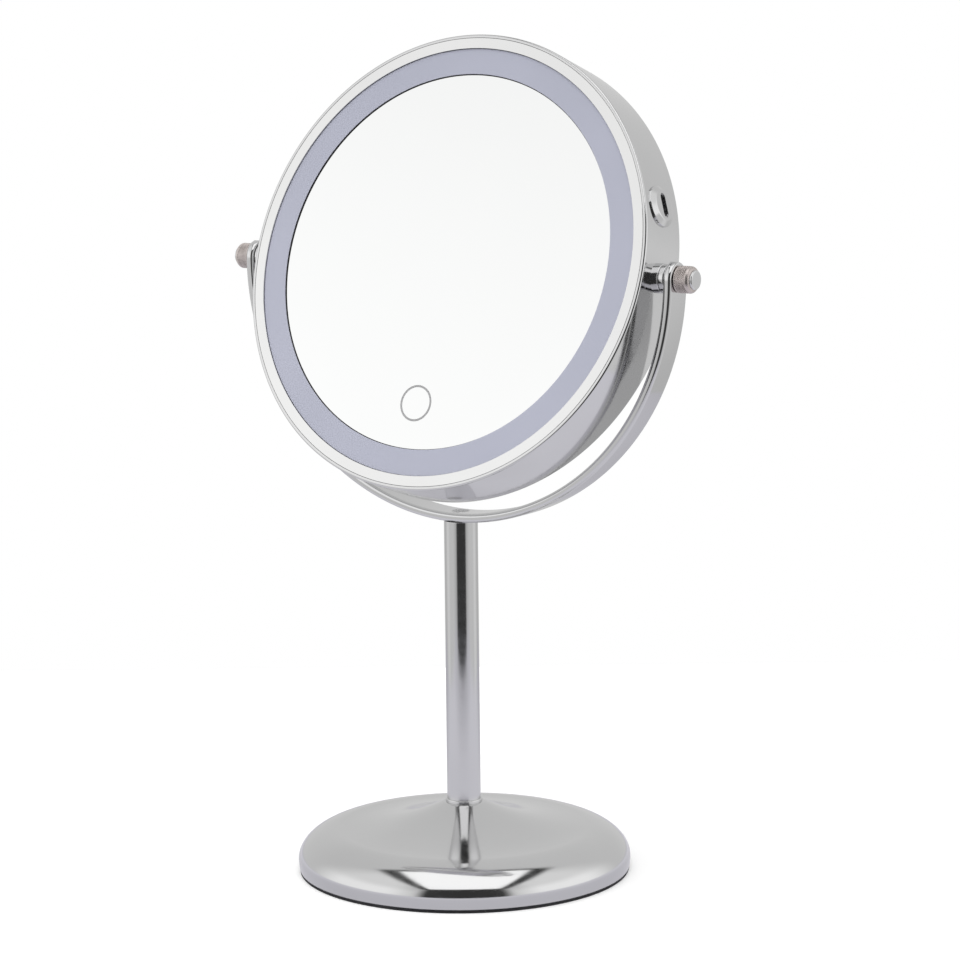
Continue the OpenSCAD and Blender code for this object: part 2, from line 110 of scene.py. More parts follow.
STUD_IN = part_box("pivot_stud_right")[0].x

# Stand
BASE_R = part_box("base_cover")[1].x
PAD_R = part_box("base_pad")[1].x
PAD_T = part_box("base_pad")[1].z
SEAT_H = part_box("base_cover")[1].z
SEAT_R = 7.6 * MM
CREST_R = 47.9 * MM                     # where the dished top turns into the round rim
CREST_H = 16.5 * MM
RIM_WIDEST_H = 5 * MM
RIM_FULLNESS = 1.3                      # how far the round rim bulges towards its corner
COVER_WALL = 0.9 * MM
STEM_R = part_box("stem_tube")[1].x
STEM_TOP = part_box("stem_tube")[1].z
COLLAR_FOOT_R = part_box("stem_collar")[1].x
COLLAR_FOOT_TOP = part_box("stem_collar")[1].z
SCREW_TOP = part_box("yoke_screw")[1].z
SINK_T = 1.5 * MM                       # depth of the screw's countersunk head

# Studio: the brightness of each part of the tent
CAMERA_AZ = math.radians(34.11)         # the photo's view, which the whole studio is turned to
SIDE_WALL = 1.14
SIDE_FALL = 0.22                        # how much dimmer the side walls are high up
BACK_WALL = 0.70
OPENING_DIM = 0.3                       # how much dimmer the side walls are beside the opening
LOW_DIM = 0.38                          # how much dimmer the walls are below the table's height
LOW_DIM_BACK = 0.24                     # how much less that is towards the back
CEILING = 1.36
CEILING_WIDENS = 0.146                  # how fast the lit ceiling widens towards the camera
DARK = 0.045
FLOOR_LEVEL = 0.76                      # what the metal sees of the table
FLOOR_TONE = (0.99, 0.98, 1.05)
FLOOR_LIFT = 0.20                       # what the camera sees it brighter by

HEAD_FRAME = Matrix.Translation(PIVOT) @ Matrix.Rotation(math.pi / 2 - REST_TILT, 4, "X")

# Segments round a circle
FINE = 256                              # drum, ring and base
MEDIUM = 128                            # stem and its collar
SMALL = 96                              # collars, washers, caps, port and touch circle
TINY = 64                               # the yoke's screw and its hole
THREADED = 48                           # studs and the holes for them

# Rounding of edges that are barely seen, and the gap between pieces that only lie together
EDGE = 0.1 * MM
HAIR = 0.1 * MM


# ---- Mesh helpers ----

def add_object(name, verts, faces, normals=None):
    """A smooth mesh object from points and faces, with its own corner normals if given."""
    mesh = bpy.data.meshes.new(name)
    mesh.from_pydata([tuple(v) for v in verts], [], faces)
    mesh.validate()
    mesh.update()
    for polygon in mesh.polygons:
        polygon.use_smooth = True
    if normals is not None:
        mesh.normals_split_custom_set_from_vertices([tuple(n) for n in normals])
    obj = bpy.data.objects.new(name, mesh)
    bpy.context.scene.collection.objects.link(obj)
    return obj


def rounded_outline(corners, steps=5):
    """A closed outline with each corner (r, z, radius) turned into an arc, in order.
    Returns (r, z, normal r, normal z) for each point. The outline runs counter-clockwise.
    A corner on the axis (r = 0) stays a point and faces straight down or up."""
    points = []
    count = len(corners)
    for i, (r, z, radius) in enumerate(corners):
        if r == 0:
            points.append((0, z, 0, -1 if corners[(i + 1) % count][0] > 0 else 1))
            continue
        here = Vector((r, z))
        before = (Vector(corners[i - 1][:2]) - here).normalized()
        after = (Vector(corners[(i + 1) % count][:2]) - here).normalized()
        half = before.angle(after) / 2
        turn = before.x * after.y - before.y * after.x
        outward = 1 if turn < 0 else -1
        cut = radius / math.tan(half)
        first, last = here + before * cut, here + after * cut
        centre = here + (before + after).normalized() * radius / math.sin(half)
        for k in range(steps + 1):
            start, end = first - centre, last - centre
            sweep = start.angle(end) * k / steps
            side = 1 if start.x * end.y - start.y * end.x > 0 else -1
            c, s = math.cos(side * sweep), math.sin(side * sweep)
            spoke = Vector((start.x * c - start.y * s, start.x * s + start.y * c))
            place = centre + spoke
            normal = spoke.normalized() * outward
            points.append((place.x, place.y, normal.x, normal.y))
    return points


def outline_normals(points):
    """Adds normals to the points of a smooth closed outline that runs counter-clockwise."""
    result = []
    for i, (r, z) in enumerate(points):
        a, b = points[i - 1], points[(i + 1) % len(points)]
        along = Vector((b[0] - a[0], b[1] - a[1])).normalized()
        result.append((r, z, along.y, -along.x))
    return result


def lathe(name, outline, matrix=Matrix.Identity(4), segments=FINE, windows=()):
    """Turns a closed outline of (r, z, nr, nz) round the z axis of matrix. Points with r = 0
    become one vertex. windows lists (first segment, last segment, outer row, inner row):
    the faces of those rows are left out and joined by walls, which makes a hole."""
    verts, normals, rings = [], [], []
    turn = matrix.to_3x3()
    for r, z, nr, nz in outline:
        ring = []
        for k in range(1 if r == 0 else segments):
            angle = 2 * math.pi * k / segments
            c, s = math.cos(angle), math.sin(angle)
            ring.append(len(verts))
            verts.append(matrix @ Vector((r * c, r * s, z)))
            normals.append(turn @ Vector((nr * c, nr * s, nz)))
        rings.append(ring)
    faces = []
    for i, low in enumerate(rings):
        high = rings[(i + 1) % len(rings)]
        for k in range(segments):
            n = (k + 1) % segments
            if any(a <= k < b and i in (outer, inner) for a, b, outer, inner in windows):
                continue
            if len(low) > 1 and len(high) > 1:
                faces.append((low[k], low[n], high[n], high[k]))
            elif len(low) > 1:
                faces.append((low[k], low[n], high[0]))
            elif len(high) > 1:
                faces.append((low[0], high[n], high[k]))
    for a, b, outer, inner in windows:
        out_low, out_high = rings[outer], rings[(outer + 1) % len(rings)]
        in_low, in_high = rings[(inner + 1) % len(rings)], rings[inner]
        for k in range(a, b):
            faces.append((out_low[k], out_low[k + 1], in_low[k + 1], in_low[k]))
            faces.append((out_high[k + 1], out_high[k], in_high[k], in_high[k + 1]))
        faces.append((out_high[a], out_low[a], in_low[a], in_high[a]))
        faces.append((out_low[b], out_high[b], in_high[b], in_low[b]))
    return add_object(name, verts, faces, normals)


def apply_modifiers(piece):
    """Gives the piece the mesh that its modifiers make."""
    depsgraph = bpy.context.evaluated_depsgraph_get()
    mesh = bpy.data.meshes.new_from_object(piece.evaluated_get(depsgraph))
    piece.modifiers.clear()
    piece.data = mesh


def cut(piece, cutter):
    """Takes the cutter's shape out of the piece and removes the cutter."""
    modifier = piece.modifiers.new("cut", "BOOLEAN")
    modifier.operation = "DIFFERENCE"
    modifier.solver = "EXACT"
    modifier.object = cutter
    apply_modifiers(piece)
    bpy.data.objects.remove(cutter)


def soften(piece, angle=40):
    """Smooth shading that keeps edges which turn by more than angle degrees sharp."""
    for polygon in piece.data.polygons:
        polygon.use_smooth = True
    piece.data.set_sharp_from_angle(angle=math.radians(angle))


def weigh_normals(piece):
    """Keeps wide faces flat to the eye, so that only the rounding beside them looks round."""
    piece.modifiers.new("weigh", "WEIGHTED_NORMAL").keep_sharp = True
    apply_modifiers(piece)


def prism(name, outline, low, high, matrix):
    """A straight bar with the given outline of (x, y) points between two heights."""
    count = len(outline)
    verts = [matrix @ Vector((x, y, z)) for z in (low, high) for x, y in outline]
    faces = [tuple(range(count))[::-1], tuple(range(count, 2 * count))]
    faces += [(k, (k + 1) % count, count + (k + 1) % count, count + k) for k in range(count)]
    return add_object(name, verts, faces)


def circle_outline(radius, steps):
    """Outline of a circle, or of a regular polygon if the steps are few."""
    angles = [2 * math.pi * k / steps for k in range(steps)]
    return [(radius * math.cos(angle), radius * math.sin(angle)) for angle in angles]


def obround(length, width):
    """Outline of a slot with half-round ends."""
    steps = 16
    r = width / 2
    points = []
    for side, start in ((1, -90), (-1, 90)):
        for k in range(steps + 1):
            angle = math.radians(start + 180 * k / steps)
            points.append((side * (length / 2 - r) + r * math.cos(angle), r * math.sin(angle)))
    return points


def join(pieces):
    """Makes the first piece hold the meshes of all, and removes the others."""
    first = pieces[0]
    verts, faces = [], []
    for piece in pieces:
        start = len(verts)
        verts += [v.co.copy() for v in piece.data.vertices]
        faces += [tuple(start + i for i in p.vertices) for p in piece.data.polygons]
    mesh = bpy.data.meshes.new(first.name)
    mesh.from_pydata(verts, [], faces)
    mesh.update()
    first.data = mesh
    for piece in pieces[1:]:
        bpy.data.objects.remove(piece)


def stands_for(piece, body, node):
    """Puts a piece under its body's empty and hides the CAD node that it stands for."""
    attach(piece, body)
    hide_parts(node)


# ---- Materials ----

def new_material(name):
    """A node material, its tree and its main shader."""
    material = bpy.data.materials.new(name)
    material.use_nodes = True
    tree = material.node_tree
    return material, tree, tree.nodes["Principled BSDF"]


def link(tree, a, b):
    tree.links.new(a, b)


def noise(tree, scale, detail, stretch=(1, 1, 1)):
    """Noise fixed to the piece, with its grain finer along an axis if asked."""
    place = tree.nodes.new("ShaderNodeTexCoord")
    mapping = tree.nodes.new("ShaderNodeMapping")
    mapping.inputs["Scale"].default_value = stretch
    texture = tree.nodes.new("ShaderNodeTexNoise")
    texture.inputs["Scale"].default_value = scale
    texture.inputs["Detail"].default_value = detail
    link(tree, place.outputs["Object"], mapping.inputs["Vector"])
    link(tree, mapping.outputs["Vector"], texture.inputs["Vector"])
    return texture.outputs["Fac"]


def spread(tree, source, low, high, start=0.35, end=0.65):
    """Maps a noise value onto the range low to high."""
    node = tree.nodes.new("ShaderNodeMapRange")
    node.inputs["From Min"].default_value = start
    node.inputs["From Max"].default_value = end
    node.inputs["To Min"].default_value = low
    node.inputs["To Max"].default_value = high
    link(tree, source, node.inputs["Value"])
    return node.outputs["Result"]


def tint(tree, shader, source, low, high):
    """Colour that wanders between two near tones."""
    mix = tree.nodes.new("ShaderNodeMix")
    mix.data_type = "RGBA"
    mix.inputs["A"].default_value = (*low, 1)
    mix.inputs["B"].default_value = (*high, 1)
    link(tree, source, mix.inputs["Factor"])
    link(tree, mix.outputs["Result"], shader.inputs["Base Color"])


def bump(tree, shader, source, strength, distance):
    """Unevenness that follows a noise value, up to a distance in metres."""
    node = tree.nodes.new("ShaderNodeBump")
    node.inputs["Strength"].default_value = strength
    node.inputs["Distance"].default_value = distance
    link(tree, source, node.inputs["Height"])
    link(tree, node.outputs["Normal"], shader.inputs["Normal"])


def metal(name, tone, rough, smudge, grain=(1, 1, 1), grain_bump=0.0, drift=0.02):
    """Metal with faint tone drift, a film of fine smudges in its gloss, and optional grain."""
    material, tree, shader = new_material(name)
    shader.inputs["Metallic"].default_value = 1
    broad = noise(tree, scale=18, detail=2)
    low = [c * (1 - drift) for c in tone]
    high = [min(1, c * (1 + drift)) for c in tone]
    tint(tree, shader, spread(tree, broad, 0, 1), low, high)
    film = noise(tree, scale=240, detail=6, stretch=grain)
    link(tree, spread(tree, film, rough, rough + smudge), shader.inputs["Roughness"])
    if grain_bump:
        fine = noise(tree, scale=1400, detail=3, stretch=grain)
        bump(tree, shader, fine, grain_bump, distance=0.02 * MM)
    return material


def plastic(name, low, high, rough, scale=300, bump_strength=0.1, bump_depth=0.03):
    """Moulded plastic, rubber, foam or paint: tone drift, uneven gloss and a fine skin.
    The skin's depth, bump_depth, is in millimetres."""
    material, tree, shader = new_material(name)
    broad = noise(tree, scale / 8, detail=3)
    tint(tree, shader, spread(tree, broad, 0, 1), low, high)
    skin = noise(tree, scale, detail=5)
    link(tree, spread(tree, skin, rough * 0.85, min(1, rough * 1.2)), shader.inputs["Roughness"])
    bump(tree, shader, noise(tree, scale * 4, detail=3), bump_strength, bump_depth * MM)
    return material


def mirror_coat(name, tone):
    """Silvered glass: almost perfect, with a trace of dust haze."""
    material, tree, shader = new_material(name)
    shader.inputs["Metallic"].default_value = 1
    broad = noise(tree, scale=9, detail=2)
    tint(tree, shader, spread(tree, broad, 0, 1), [c * 0.99 for c in tone], tone)
    haze = noise(tree, scale=60, detail=5)
    gloss = spread(tree, haze, low=0.0, high=0.012, start=0.45, end=0.8)
    link(tree, gloss, shader.inputs["Roughness"])
    return material


def frosted(name, low, high):
    """Sandblasted acrylic over the light-emitting chips, unlit."""
    material, tree, shader = new_material(name)
    broad = noise(tree, scale=14, detail=2)
    tint(tree, shader, spread(tree, broad, 0, 1), low, high)
    grain = noise(tree, scale=420, detail=2)
    link(tree, spread(tree, grain, low=0.5, high=0.65), shader.inputs["Roughness"])
    bump(tree, shader, grain, strength=0.04, distance=0.01 * MM)
    shader.inputs["Specular IOR Level"].default_value = 0.2
    shader.inputs["IOR"].default_value = 1.49
    return material


MATERIALS = {
    "chrome": metal("chrome", (0.66, 0.66, 0.665), rough=0.09, smudge=0.04),
    "chrome_bright": metal("chrome_bright", (0.76, 0.76, 0.76), rough=0.05, smudge=0.04),
    "knurled_metal": metal(
        "knurled_metal", (0.60, 0.545, 0.525), rough=0.28, smudge=0.15, drift=0.12),
    "plain_steel": metal("plain_steel", (0.56, 0.56, 0.57), rough=0.2, smudge=0.12,
                         grain=(1, 1, 6), grain_bump=0.15),
    "cast_weight": metal("cast_weight", (0.12, 0.12, 0.125), rough=0.55, smudge=0.25,
                         grain_bump=0.6, drift=0.15),
    "cell_foil": metal("cell_foil", (0.62, 0.64, 0.68), rough=0.3, smudge=0.15,
                       grain=(8, 1, 1), grain_bump=0.1),
    "copper_pad": metal("copper_pad", (0.80, 0.45, 0.27), rough=0.25, smudge=0.15),
    "mirror_glass": mirror_coat("mirror_glass", (0.875, 0.88, 0.88)),
    "diffuser": frosted("diffuser", (0.54, 0.555, 0.66), (0.575, 0.59, 0.70)),
    "pad_rubber": plastic("pad_rubber", (0.012, 0.012, 0.014), (0.02, 0.02, 0.022),
                          rough=0.8, scale=500, bump_strength=0.5),
    "touch_print": plastic("touch_print", (0.44, 0.44, 0.445), (0.48, 0.48, 0.485),
                           rough=0.5, scale=900),
    "white_plastic": plastic(
        "white_plastic", (0.80, 0.80, 0.79), (0.84, 0.84, 0.83), rough=0.4),
    "dark_plastic": plastic(
        "dark_plastic", (0.03, 0.03, 0.032), (0.045, 0.045, 0.05), rough=0.45),
    "board_white": plastic("board_white", (0.78, 0.78, 0.75), (0.82, 0.82, 0.79),
                           rough=0.35, scale=700),
    "board_green": plastic("board_green", (0.01, 0.10, 0.04), (0.02, 0.14, 0.05),
                           rough=0.35, scale=700),
    "led_phosphor": plastic("led_phosphor", (0.80, 0.62, 0.15), (0.88, 0.70, 0.2),
                            rough=0.4, scale=900),
    "wire_red": plastic("wire_red", (0.40, 0.01, 0.01), (0.5, 0.02, 0.02), rough=0.4),
    "wire_black": plastic("wire_black", (0.01, 0.01, 0.01), (0.02, 0.02, 0.02), rough=0.4),
    "wire_yellow": plastic("wire_yellow", (0.6, 0.4, 0.02), (0.7, 0.48, 0.04), rough=0.4),
    "foam": plastic("foam", (0.04, 0.04, 0.045), (0.07, 0.07, 0.075),
                    rough=0.95, scale=900, bump_strength=0.9, bump_depth=0.2),
    "tape": plastic("tape", (0.62, 0.62, 0.56), (0.7, 0.7, 0.64), rough=0.7, scale=400),
}
SLOT_OF = {part["node"]: part["material_slot"] for part in frame["record"]["subparts"]}


def finish_as(piece, node, body):
    """Gives a piece the material of the CAD node it stands for, and its body and slot."""
    piece.data.materials.clear()
    piece.data.materials.append(MATERIALS[SLOT_OF[node]])
    stands_for(piece, body, node)


def paint_cad_nodes():
    """Every CAD node that stays gets the procedural material of its slot."""
    for node, obj in frame["nodes"].items():
        material = MATERIALS[SLOT_OF[node]]
        if not obj.material_slots:
            obj.data.materials.append(material)
        for place in obj.material_slots:
            place.material = material


# ---- Stand ----

def top_h(r):
    """Height of the base's dished top, level at its crest and steepest at its seat."""
    k = (CREST_R - r) / (CREST_R - SEAT_R)
    return CREST_H + (SEAT_H - CREST_H) * k * k


def rim_point(k, inset):
    """A point of the base's round rim, from its widest point (k = 0) to its crest (k = 1)."""
    wide = Vector((BASE_R - inset, RIM_WIDEST_H))
    corner = Vector((BASE_R - inset, CREST_H - inset))
    crest = Vector((CREST_R, CREST_H - inset))
    a, b, c = (1 - k) ** 2, RIM_FULLNESS * k * (1 - k), k * k
    return (wide * a + corner * b + crest * c) / (a + b + c)


def base_cover():
    """Thin shell with a round rim, a dished top and a flat seat, open under the stem."""
    lip_r = BASE_R - 0.4 * MM
    neck_r = STEM_R - 2 * MM
    skirt_steps, rim_steps, top_steps = 8, 40, 40
    outer = [(lip_r + (BASE_R - lip_r) * math.sin(k / skirt_steps * math.pi / 2),
              PAD_T + (RIM_WIDEST_H - PAD_T) * k / skirt_steps) for k in range(skirt_steps)]
    outer += [tuple(rim_point(k / rim_steps, 0)) for k in range(rim_steps + 1)]
    top_radii = [CREST_R + (SEAT_R - CREST_R) * k / top_steps for k in range(1, top_steps + 1)]
    outer += [(r, top_h(r)) for r in top_radii]
    inner = [(r, top_h(r) - COVER_WALL) for r in top_radii[::-1]]
    inner += [tuple(rim_point(1 - k / rim_steps, COVER_WALL)) for k in range(rim_steps + 1)]
    inner += [(lip_r - COVER_WALL, PAD_T)]
    neck = [(neck_r, SEAT_H), (neck_r, SEAT_H - COVER_WALL)]
    cover = lathe("base_cover_shell", outline_normals(outer + neck + inner))
    finish_as(cover, "base_cover", "stand")


def base_pad():
    """Flat rubber disc with rounded edges."""
    edge = 0.35 * MM
    outline = rounded_outline([
        (0, 0, 0), (PAD_R, 0, edge), (PAD_R, PAD_T, edge), (0, PAD_T, 0)])
    finish_as(lathe("base_pad_disc", outline), "base_pad", "stand")


def stem():
    """The tube, and the low flange round its foot."""
    bore_r = STEM_R - 1 * MM
    top_edge = 0.25 * MM
    tube = lathe("stem_pipe", rounded_outline([
        (bore_r, SEAT_H, EDGE), (STEM_R, SEAT_H, EDGE),
        (STEM_R, STEM_TOP, top_edge), (bore_r, STEM_TOP, EDGE)]), segments=MEDIUM)
    finish_as(tube, "stem_tube", "stand")
    foot_in_r = STEM_R + 0.01 * MM
    foot_edge, inner_low, inner_top = 0.4 * MM, 0.05 * MM, 0.03 * MM
    foot = lathe("stem_foot_collar", rounded_outline([
        (foot_in_r, SEAT_H, inner_low), (COLLAR_FOOT_R, SEAT_H, EDGE),
        (COLLAR_FOOT_R, COLLAR_FOOT_TOP, foot_edge),
        (foot_in_r, COLLAR_FOOT_TOP, inner_top)]), segments=MEDIUM)
    finish_as(foot, "stem_collar", "stand")


def yoke():
    """Bent strip: a rounded section swept round the half circle, with round tabs at its ends."""
    mid_r = YOKE_OUT_R - YOKE_T / 2
    tab = YOKE_W / 2
    corner = 1.4 * MM                   # rounding of the strip's long edges
    least_half = 0.3 * MM               # half width at the very end of a tab
    arc_steps = 540
    tab_steps = 14

    def tab_station(side, k):
        angle = math.pi / 2 * k / tab_steps
        return side * mid_r, tab * math.sin(angle), side, 0, tab * math.cos(angle)

    # Each station is (centre x, centre z, outward x, outward z, half width)
    stations = [tab_station(-1, k) for k in range(tab_steps, 0, -1)]
    for k in range(arc_steps + 1):
        angle = math.pi + math.pi * k / arc_steps
        x, z = math.cos(angle), math.sin(angle)
        stations.append((mid_r * x, mid_r * z, x, z, tab))
    stations += [tab_station(1, k) for k in range(1, tab_steps + 1)]
    verts, faces, rings = [], [], []
    for x, z, out_x, out_z, half in stations:
        width = max(half, least_half)
        round_r = min(corner, width * 0.9)
        section = rounded_outline([
            (YOKE_T / 2, -width, round_r), (YOKE_T / 2, width, round_r),
            (-YOKE_T / 2, width, round_r), (-YOKE_T / 2, -width, round_r)], steps=6)
        ring = []
        for out, across, *_ in section:
            ring.append(len(verts))
            verts.append(PIVOT + Vector((x + out_x * out, across, z + out_z * out)))
        rings.append(ring)
    for low, high in zip(rings, rings[1:]):
        for k in range(len(low)):
            n = (k + 1) % len(low)
            faces.append((low[k], high[k], high[n], low[n]))
    faces += [tuple(rings[0]), tuple(rings[-1])[::-1]]
    strip = add_object("yoke_strip", verts, faces)
    tilt_axis = Matrix.Translation(PIVOT) @ Matrix.Rotation(math.pi / 2, 4, "Y")
    hole = circle_outline(STUD_R + RUN_CLEAR, THREADED)
    reach = YOKE_OUT_R + 2 * MM
    cut(strip, prism("pivot_holes", hole, -reach, reach, tilt_axis))
    hole_r, sink_r = 2.1 * MM, 3.5 * MM
    below, above = STEM_TOP - 3 * MM, SCREW_TOP + 4 * MM
    screw_hole = [(0, below), (hole_r, below), (hole_r, SCREW_TOP - SINK_T),
                  (sink_r, SCREW_TOP), (sink_r, above), (0, above)]
    cut(strip, lathe("screw_hole", outline_normals(screw_hole), segments=TINY))
    soften(strip)
    weigh_normals(strip)
    finish_as(strip, "yoke", "stand")


def yoke_screw():
    """Countersunk screw, a hair below the inner face of the yoke."""
    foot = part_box("yoke_screw")[0].z
    shank_r, head_r = 2 * MM, 3.4 * MM
    foot_edge, neck_edge, head_edge = 0.3 * MM, 0.05 * MM, 0.08 * MM
    outline = rounded_outline([
        (0, foot, 0), (shank_r, foot, foot_edge), (shank_r, SCREW_TOP - SINK_T, neck_edge),
        (head_r, SCREW_TOP, head_edge), (0, SCREW_TOP, 0)])
    screw = lathe("yoke_sunk_screw", outline, segments=TINY)
    reach, half, recess_t = 1.9 * MM, 0.4 * MM, 0.9 * MM
    bar = [(-reach, -half), (reach, -half), (reach, half), (-reach, half)]
    for turn in (0, 90):
        place = Matrix.Rotation(math.radians(turn), 4, "Z")
        cut(screw, prism("recess", bar, SCREW_TOP - recess_t, SCREW_TOP + MM, place))
    soften(screw)
    finish_as(screw, "yoke_screw", "stand")


# ---- Head ----

def drum_housing():
    """The drum's ring, with a window in its wall under the port surround."""
    inner = HEAD_R - SHELL_WALL
    rows = [-8 * MM, -3 * MM, 2.8 * MM, 7 * MM]     # the window is between the middle two
    outer_rows = [(HEAD_R, z, 1, 0) for z in rows]
    inner_rows = [(inner, z, -1, 0) for z in reversed(rows)]
    edge, seam_edge = 0.8 * MM, 0.05 * MM
    corners = rounded_outline([
        (inner, BACK_Z, seam_edge), (HEAD_R, BACK_Z, edge), (HEAD_R, FRONT_Z, edge),
        (inner, FRONT_Z, seam_edge)])
    half = len(corners) // 2
    outline = outer_rows + corners[half:] + inner_rows + corners[:half]
    per_degree = 3
    outer_row = 1
    inner_row = len(outer_rows) + half + 1
    port = round(math.degrees(PORT_ANGLE))
    start, end = port - 3, port + 4                 # degrees that the window spans
    window = (start * per_degree, end * per_degree, outer_row, inner_row)
    ring = lathe("drum_ring", outline, HEAD_FRAME, 360 * per_degree, [window])
    finish_as(ring, "drum_housing", "head")


def bezel(name, node, view_r, face_z, facing):
    """A pressed ring; facing is 1 for the lit side and -1 for the back."""
    flip = Matrix.Identity(4) if facing > 0 else Matrix.Rotation(math.pi, 4, "X")
    place = HEAD_FRAME @ Matrix.Translation((0, 0, face_z)) @ flip
    inner = BEZEL_R - BEZEL_WALL
    skirt_edge, face_edge = 0.2 * MM, 0.12 * MM
    outline = rounded_outline([
        (view_r, -BEZEL_FLANGE, EDGE), (inner, -BEZEL_FLANGE, EDGE),
        (inner, -BEZEL_SKIRT, skirt_edge), (BEZEL_R, -BEZEL_SKIRT, skirt_edge),
        (BEZEL_R, 0, face_edge), (view_r, 0, face_edge)])
    finish_as(lathe(name, outline, place), node, "head")


def paint_bore_shade(ring):
    """Makes the ring's bore black: painted shade for the shadowed gap between ring and mirror, which gives the
    dark line at the mirror's edge.
    """
    ring.data.materials.append(MATERIALS["dark_plastic"])
    # Faces inside this radius get the painted shade.
    shaded_r = LIGHT_IN_R + 0.05 * MM
    to_head = HEAD_FRAME.inverted()
    for polygon in ring.data.polygons:
        middle = to_head @ polygon.center
        if math.hypot(middle.x, middle.y) < shaded_r:
            polygon.material_index = 1


def light_ring():
    """Frosted ring between mirror and bezel, with a lip that the bezel holds down."""
    lip_z = FRONT_Z - BEZEL_FLANGE - HAIR
    shoulder = LIGHT_OUT_R - HAIR
    face_edge = 0.15 * MM
    outline = rounded_outline([
        (LIGHT_IN_R, LIGHT_BACK_Z, EDGE), (LIGHT_LIP_R, LIGHT_BACK_Z, EDGE),
        (LIGHT_LIP_R, lip_z, EDGE), (shoulder, lip_z, EDGE),
        (shoulder, LIGHT_FACE_Z, face_edge), (LIGHT_IN_R, LIGHT_FACE_Z, face_edge)])
    ring = lathe("light_diffuser", outline, HEAD_FRAME)
    finish_as(ring, "light_ring", "head")
    # The black bore is painted shade for the gap at the mirror's edge.
    paint_bore_shade(ring)


def front_mirror():
    """Flat glass with rounded edges."""
    edge = 0.2 * MM
    back = MIRROR_FACE_Z - GLASS_T
    outline = rounded_outline([
        (0, back, 0), (MIRROR_R, back, edge), (MIRROR_R, MIRROR_FACE_Z, edge),
        (0, MIRROR_FACE_Z, 0)])
    finish_as(lathe("front_mirror_glass", outline, HEAD_FRAME), "front_mirror", "head")


def touch_mark():
    """Printed circle that marks the touch switch."""
    place = HEAD_FRAME @ Matrix.Translation((-TOUCH_ASIDE, -TOUCH_DROP, 0))
    top = MIRROR_FACE_Z + 0.05 * MM
    inner = TOUCH_R - TOUCH_LINE
    low_edge, top_edge = 0.01 * MM, 0.02 * MM
    outline = rounded_outline([
        (inner, MIRROR_FACE_Z, low_edge), (TOUCH_R, MIRROR_FACE_Z, low_edge),
        (TOUCH_R, top, top_edge), (inner, top, top_edge)], steps=2)
    finish_as(lathe("touch_circle", outline, place, SMALL), "touch_mark", "head")


def rear_mirror():
    """Concave glass: the surface seen from behind is part of a sphere."""
    steps = 24
    face, back = [], []
    for k in range(steps + 1):
        r = DISH_R * k / steps
        z = DISH_DEEP_Z - r * r / (2 * DISH_CURVE_R)
        lean = r / DISH_CURVE_R
        face.append((r, z, -math.sin(lean), -math.cos(lean)))
        back.append((r, z + DISH_T, math.sin(lean), math.cos(lean)))
    outline = face + back[::-1]
    finish_as(lathe("rear_mirror_glass", outline, HEAD_FRAME), "rear_mirror", "head")


def pivot_frame(side):
    """The frame of one pivot: z runs outwards along the tilt axis."""
    return (Matrix.Translation(PIVOT) @ Matrix.Rotation(-REST_TILT, 4, "X")
            @ Matrix.Rotation(side * math.pi / 2, 4, "Y"))


def pivot_collar(side, word):
    """Chrome spacer with its foot shaped to the drum's round wall."""
    foot, foot_limit = HEAD_R - 0.1 * MM, HEAD_R + 0.2 * MM
    foot_edge, end_edge = 0.05 * MM, 0.35 * MM
    outline = rounded_outline([
        (STUD_HOLE_R, foot, foot_edge), (COLLAR_R, foot, foot_edge),
        (COLLAR_R, COLLAR_END, end_edge), (STUD_HOLE_R, COLLAR_END, EDGE)])
    collar = lathe(f"pivot_spacer_{word}", outline, pivot_frame(side), SMALL)
    to_head = HEAD_FRAME.inverted()
    for vertex in collar.data.vertices:
        local = to_head @ vertex.co
        if abs(local.x) < foot_limit:
            local.x = side * math.sqrt(HEAD_R ** 2 - local.y ** 2)
            vertex.co = HEAD_FRAME @ local
    soften(collar)
    finish_as(collar, f"pivot_collar_{word}", "head")


def friction_washer(side, word):
    """Washer between collar and yoke, with rounded outer edges."""
    outer_edge = 0.3 * MM
    outline = rounded_outline([
        (STUD_HOLE_R, COLLAR_END, EDGE), (WASHER_R, COLLAR_END, outer_edge),
        (WASHER_R, WASHER_END, outer_edge), (STUD_HOLE_R, WASHER_END, EDGE)])
    washer = lathe(f"pivot_washer_{word}", outline, pivot_frame(side), SMALL)
    finish_as(washer, f"friction_washer_{word}", "head")


def pivot_stud(side, word):
    """Threaded stud with a domed end, and a hexagonal head inside the drum."""
    head_t, head_flats = 2.4 * MM, 6.4 * MM
    pitch, depth = 0.8 * MM, 0.22 * MM
    crest = 0.15                        # share of the pitch on either side of a groove
    dome_t, dome_r, dome_rise, dome_steps = 1.2 * MM, 0.9 * MM, 1.15 * MM, 9
    shank_in = STUD_IN + 1 * MM         # where the shank starts, inside the head
    shank_start = STUD_IN + head_t
    dome = STUD_END - dome_t
    points = [(0, shank_in), (STUD_R - depth, shank_in), (STUD_R, shank_start)]
    turns = int((dome - shank_start) / pitch)
    for k in range(turns):
        z = shank_start + k * pitch
        points += [(STUD_R, z + crest * pitch), (STUD_R - depth, z + 0.5 * pitch),
                   (STUD_R, z + (1 - crest) * pitch)]
    points.append((STUD_R, dome))
    for k in range(1, dome_steps):
        angle = math.pi / 2 * k / dome_steps
        points.append((STUD_R - dome_r + dome_r * math.cos(angle),
                       dome + dome_rise * math.sin(angle)))
    points.append((0, STUD_END))
    place = pivot_frame(side)
    stud = lathe(f"stud_{word}", outline_normals(points), place, THREADED)
    corner_r = head_flats / math.cos(math.pi / 6) / 2
    head = prism("stud_head", circle_outline(corner_r, 6), STUD_IN, shank_start, place)
    join([stud, head])
    soften(stud, 30)
    finish_as(stud, f"pivot_stud_{word}", "head")


